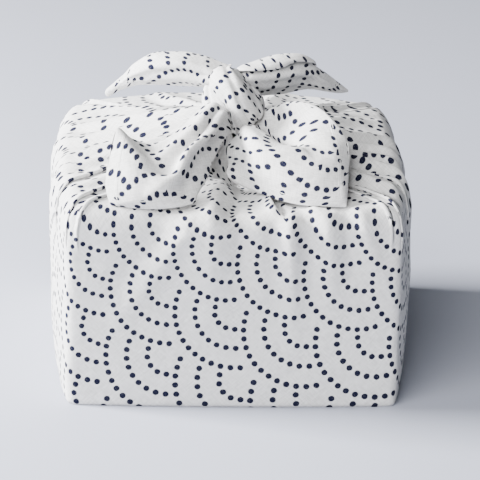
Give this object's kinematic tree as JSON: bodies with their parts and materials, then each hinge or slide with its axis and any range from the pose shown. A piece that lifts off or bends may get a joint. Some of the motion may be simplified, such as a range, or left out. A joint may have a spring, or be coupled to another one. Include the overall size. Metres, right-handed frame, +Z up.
{
  "type": "furoshiki wrap",
  "caption": "Square printed cotton cloth wrapped round a box-shaped parcel, gathered over its top and tied in a knot whose free ends drape and stand as a bow.",
  "frame": {"origin": "middle of the flat base, on the surface that the parcel stands on", "axes": "+X to the right across the front, +Y to the back, +Z up"},
  "size_m": [0.1669, 0.1593, 0.14],
  "materials": {
    "printed_cotton": "off-white plain-weave cotton printed with navy dots in rows of overlapping wave scales, matt, with narrow stitched hems"
  },
  "bodies": {
    "root": {"furoshiki_wrap": "printed_cotton"}
  },
  "joints": []
}
